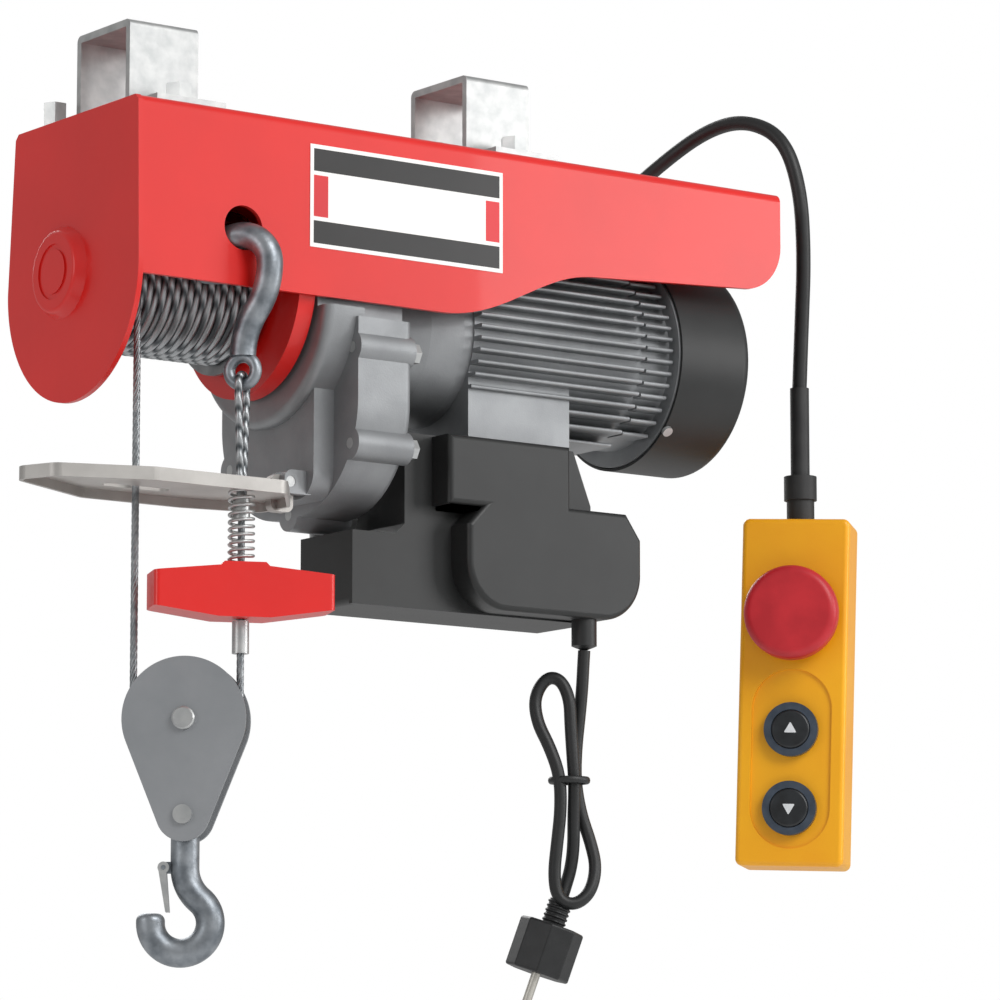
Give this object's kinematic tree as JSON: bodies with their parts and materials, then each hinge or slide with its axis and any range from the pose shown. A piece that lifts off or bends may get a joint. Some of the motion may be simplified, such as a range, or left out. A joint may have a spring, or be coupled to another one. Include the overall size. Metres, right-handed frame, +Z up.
{
  "type": "mini electric wire rope hoist",
  "caption": "Compact electric wire rope hoist: drum, gear train and motor in a folded red frame hung on a beam, sheave block with swivel hook, limit lever and wired pendant.",
  "frame": {"origin": "middle of the beam seat, on the frame's top face", "axes": "+X from the drum to the motor along the beam, +Y to the rear, +Z up"},
  "size_m": [0.5643, 0.2089, 0.5293],
  "materials": {
    "red_paint": "gloss enamel",
    "cast_aluminium": "cast, satin grey",
    "zinc_steel": "zinc plated",
    "machined_steel": "machined",
    "forged_steel": "forged and zinc plated",
    "wire_rope": "galvanised strand",
    "grey_paint": "satin grey",
    "lever_paint": "zinc plated sheet",
    "black_plastic": "fine texture",
    "copper_wire": "enamelled",
    "gasket_rubber": "matt",
    "black_cable": "satin",
    "plug_plastic": "satin",
    "yellow_plastic": "semi gloss",
    "red_plastic": "satin",
    "button_plastic": "satin"
  },
  "bodies": {
    "frame": {"anchor_hook": "forged_steel", "box_glands": "black_plastic", "button_bezels": "black_plastic", "capacitor": "black_plastic", "end_plate": "red_paint", "end_shield": "cast_aluminium", "fan_cover": "black_plastic", "fan_cover_screws": "zinc_steel", "frame_bolts": "zinc_steel", "frame_shell": "red_paint", "gear_case": "cast_aluminium", "gear_cover": "cast_aluminium", "gear_gasket": "gasket_rubber", "gear_screws": "zinc_steel", "junction_box": "black_plastic", "junction_cover": "black_plastic", "lead_hank": "black_cable", "lever_pin": "zinc_steel", "limit_switch": "black_plastic", "middle_plate": "red_paint", "motor_housing": "cast_aluminium", "motor_shield": "cast_aluminium", "pendant_back": "yellow_plastic", "pendant_cable": "black_cable", "pendant_front": "yellow_plastic", "pendant_gland": "gasket_rubber", "plug": "plug_plastic", "power_lead": "black_cable", "rope_eye": "wire_rope", "rope_fall_anchor": "wire_rope", "rope_fall_drum": "wire_rope", "rope_ferrules": "zinc_steel", "saddles": "zinc_steel", "shaft_bearings": "machined_steel", "stator": "machined_steel", "stator_windings": "copper_wire", "stop_spring": "zinc_steel", "terminal_block": "black_plastic"},
    "drum": {"drum": "machined_steel", "drum_shaft": "machined_steel", "rope_winding": "wire_rope", "drum_gear": "machined_steel"},
    "layshaft": {"layshaft": "machined_steel", "layshaft_gear": "machined_steel"},
    "rotor": {"rotor": "machined_steel", "motor_pinion": "machined_steel", "fan": "black_plastic"},
    "block": {"front_cheek": "grey_paint", "back_cheek": "grey_paint", "sheave_axle": "zinc_steel", "crosshead": "zinc_steel", "rope_bight": "wire_rope"},
    "sheave": {"sheave": "machined_steel"},
    "hook": {"cargo_hook": "forged_steel"},
    "latch": {"hook_latch": "zinc_steel"},
    "lever": {"stop_lever": "lever_paint"},
    "weight": {"stop_weight": "red_paint"},
    "stop_button": {"stop_button": "red_plastic"},
    "up_button": {"up_button": "button_plastic"},
    "down_button": {"down_button": "button_plastic"}
  },
  "joints": [
    {"name": "drum_turn", "type": "hinge", "parent": "frame", "child": "drum", "pos_m": [0, 0.012, -0.084], "axis": [1, 0, 0], "range_deg": [-45, 1800]},
    {"name": "layshaft_turn", "type": "hinge", "parent": "frame", "child": "layshaft", "pos_m": [0, 0.012, -0.134], "axis": [1, 0, 0], "range_deg": [-6387, 165]},
    {"name": "motor_spin", "type": "hinge", "parent": "frame", "child": "rotor", "pos_m": [0, 0, -0.09794], "axis": [1, 0, 0], "range_deg": [-856, 34046]},
    {"name": "block_lift", "type": "slide", "parent": "frame", "child": "block", "axis": [0, 0, 1], "range_m": [-0.6, 0.0151], "deforming": ["rope_fall_drum", "rope_fall_anchor"]},
    {"name": "sheave_turn", "type": "hinge", "parent": "block", "child": "sheave", "pos_m": [-0.1029, -0.04415, -0.325], "axis": [-0.6468, -0.7626, 0], "range_deg": [-36, 1224]},
    {"name": "hook_swivel", "type": "hinge", "parent": "block", "child": "hook", "pos_m": [-0.1029, -0.04415, -0.375], "axis": [0, 0, 1], "continuous": true},
    {"name": "latch_swing", "type": "hinge", "parent": "hook", "child": "latch", "pos_m": [-0.1118, -0.03768, -0.402], "axis": [-0.5878, -0.809, 0], "range_deg": [0, 15], "stiffness_Nm_per_rad": 0.01, "springref_deg": -28.65},
    {"name": "lever_swing", "type": "hinge", "parent": "frame", "child": "lever", "pos_m": [-0.034, -0.029, -0.192], "axis": [0, 1, 0], "range_deg": [0, 3]},
    {"name": "weight_slide", "type": "slide", "parent": "frame", "child": "weight", "axis": [0, 0, 1], "range_m": [0, 0.02], "stiffness_N_per_m": 100, "deforming": ["stop_spring"]},
    {"name": "stop_press", "type": "slide", "parent": "frame", "child": "stop_button", "axis": [0.7314, 0.682, 0], "range_m": [0, 0.004], "stiffness_N_per_m": 600},
    {"name": "up_press", "type": "slide", "parent": "frame", "child": "up_button", "axis": [0.7314, 0.682, 0], "range_m": [0, 0.003], "stiffness_N_per_m": 500},
    {"name": "down_press", "type": "slide", "parent": "frame", "child": "down_button", "axis": [0.7314, 0.682, 0], "range_m": [0, 0.003], "stiffness_N_per_m": 500}
  ],
  "couplings": [
    {"joint": "layshaft_turn", "follows": "drum_turn", "ratio": -3.5455},
    {"joint": "motor_spin", "follows": "drum_turn", "ratio": 18.909},
    {"joint": "block_lift", "follows": "drum_turn", "m_per_rad": -0.019},
    {"joint": "sheave_turn", "follows": "drum_turn", "ratio": 0.67711}
  ]
}
